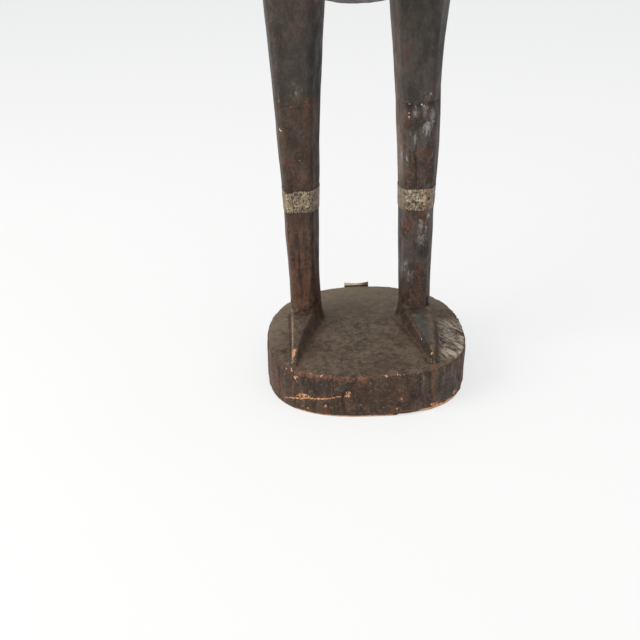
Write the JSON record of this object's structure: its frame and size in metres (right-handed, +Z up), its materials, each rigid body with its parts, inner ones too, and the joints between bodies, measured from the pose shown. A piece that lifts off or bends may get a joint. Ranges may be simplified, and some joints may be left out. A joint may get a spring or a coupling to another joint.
{
  "type": "standing hornbill figure",
  "caption": "Carved wooden hornbill standing on a low rounded base, with tall plain legs, sheet-metal leg bands, spread fluted wings and a long bill that curves down to the belly.",
  "frame": {"origin": "on the underside of the base, midway between the legs and at the middle of the base's depth", "axes": "+Z up the figure, the bird faces -Y, +X towards the bird's own left side"},
  "size_m": [0.476, 0.4379, 1.4783],
  "materials": {
    "carved_wood": "dark worn patina with tool marks",
    "sheet_metal": "aged thin sheet with a stamped pattern"
  },
  "bodies": {
    "root": {"hornbill": "carved_wood", "left_leg_band": "sheet_metal", "right_leg_band": "sheet_metal", "rim_patch": "sheet_metal"}
  },
  "joints": []
}
